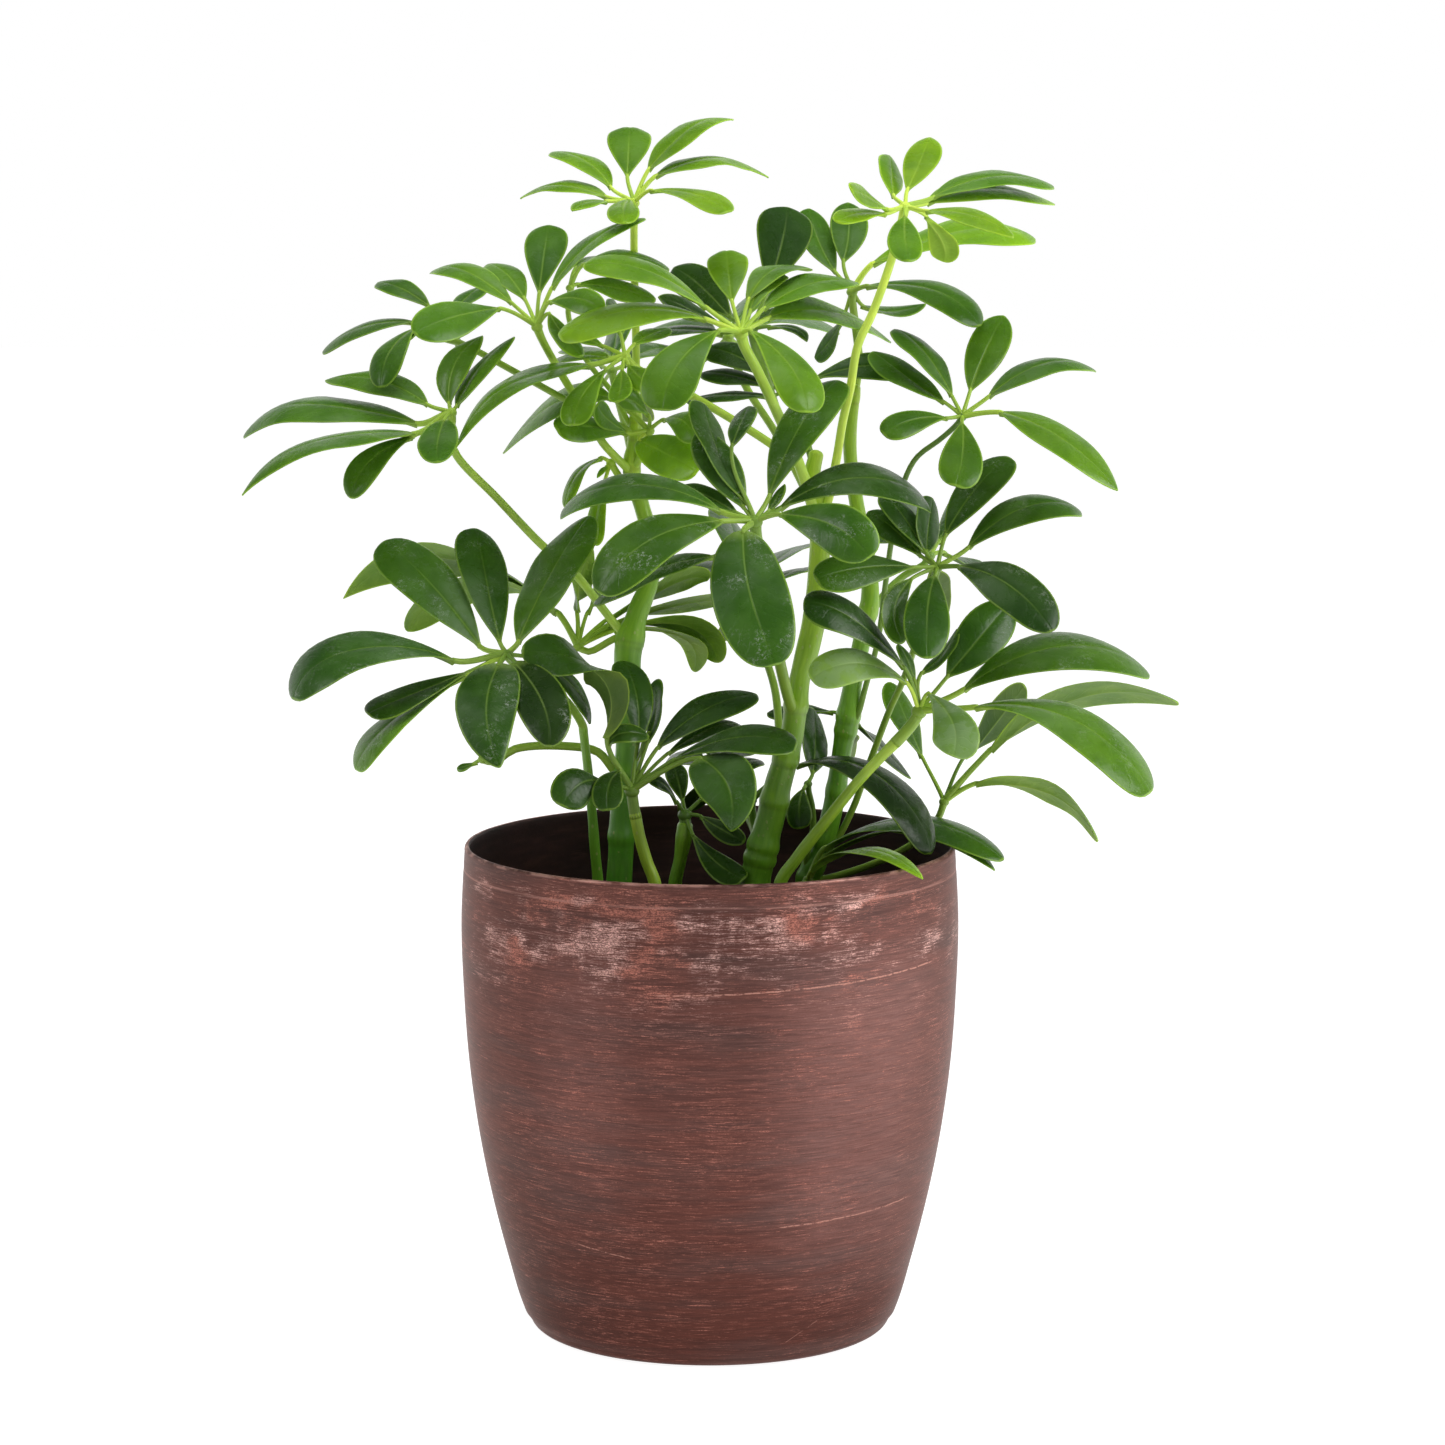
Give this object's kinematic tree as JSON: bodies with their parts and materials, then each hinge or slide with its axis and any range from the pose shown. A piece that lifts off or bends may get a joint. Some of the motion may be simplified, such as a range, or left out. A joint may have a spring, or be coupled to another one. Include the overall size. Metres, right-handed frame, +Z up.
{
  "type": "potted plant",
  "caption": "Dwarf umbrella tree with palmate glossy leaves in a round, slightly barrel-shaped pot with a brushed coppery finish.",
  "frame": {"origin": "middle of the pot's flat foot, on the surface it stands on", "axes": "+Z up along the pot's axis, -Y to the front as the plant is seen in the picture, +X to the right"},
  "size_m": [0.313, 0.1916, 0.4065],
  "materials": {
    "planter": "satin coppery brown, brushed round with fine paler streaks",
    "potting_mix": "dark crumbly peat and bark mix",
    "main_left": "smooth green bark with paler nodes",
    "main_centre": "smooth green bark with paler nodes",
    "main_right": "smooth green bark with paler nodes",
    "shoot_left": "smooth green bark with paler nodes",
    "shoot_front": "smooth green bark with paler nodes",
    "shoot_middle": "smooth green bark with paler nodes",
    "shoot_right": "smooth green bark with paler nodes",
    "leaf_a": "smooth glossy leaf",
    "leaf_b": "smooth glossy leaf",
    "leaf_c": "smooth glossy leaf",
    "leaf_d": "smooth glossy leaf",
    "leaf_h": "smooth glossy leaf",
    "leaf_e": "smooth glossy leaf",
    "leaf_f": "smooth glossy leaf",
    "leaf_g": "smooth glossy leaf",
    "leaf_t": "smooth glossy leaf",
    "leaf_u": "smooth glossy leaf",
    "leaf_s": "smooth glossy leaf",
    "leaf_y": "smooth glossy leaf",
    "leaf_v": "smooth glossy leaf",
    "leaf_i": "smooth glossy leaf",
    "leaf_j": "smooth glossy leaf",
    "leaf_k": "smooth glossy leaf",
    "leaf_l": "smooth glossy leaf",
    "leaf_m": "smooth glossy leaf",
    "leaf_n": "smooth glossy leaf",
    "leaf_o": "smooth glossy leaf",
    "leaf_o2": "smooth glossy leaf",
    "leaf_p": "smooth glossy leaf",
    "leaf_q": "smooth glossy leaf",
    "leaf_r": "smooth glossy leaf",
    "leaf_w": "smooth glossy leaf",
    "leaf_z": "smooth glossy leaf",
    "leaf_x": "smooth glossy leaf",
    "leaf_k1": "smooth glossy leaf",
    "leaf_k2": "smooth glossy leaf",
    "leaf_k3": "smooth glossy leaf",
    "leaf_k4": "smooth glossy leaf",
    "leaf_k5": "smooth glossy leaf"
  },
  "bodies": {
    "root": {"planter": "planter", "potting_mix": "potting_mix", "main_left": "main_left", "main_centre": "main_centre", "main_right": "main_right", "shoot_left": "shoot_left", "shoot_front": "shoot_front", "shoot_middle": "shoot_middle", "shoot_right": "shoot_right", "leaf_a": "leaf_a", "leaf_b": "leaf_b", "leaf_c": "leaf_c", "leaf_d": "leaf_d", "leaf_h": "leaf_h", "leaf_e": "leaf_e", "leaf_f": "leaf_f", "leaf_g": "leaf_g", "leaf_t": "leaf_t", "leaf_u": "leaf_u", "leaf_s": "leaf_s", "leaf_y": "leaf_y", "leaf_v": "leaf_v", "leaf_i": "leaf_i", "leaf_j": "leaf_j", "leaf_k": "leaf_k", "leaf_l": "leaf_l", "leaf_m": "leaf_m", "leaf_n": "leaf_n", "leaf_o": "leaf_o", "leaf_o2": "leaf_o2", "leaf_p": "leaf_p", "leaf_q": "leaf_q", "leaf_r": "leaf_r", "leaf_w": "leaf_w", "leaf_z": "leaf_z", "leaf_x": "leaf_x", "leaf_k1": "leaf_k1", "leaf_k2": "leaf_k2", "leaf_k3": "leaf_k3", "leaf_k4": "leaf_k4", "leaf_k5": "leaf_k5"}
  },
  "joints": []
}
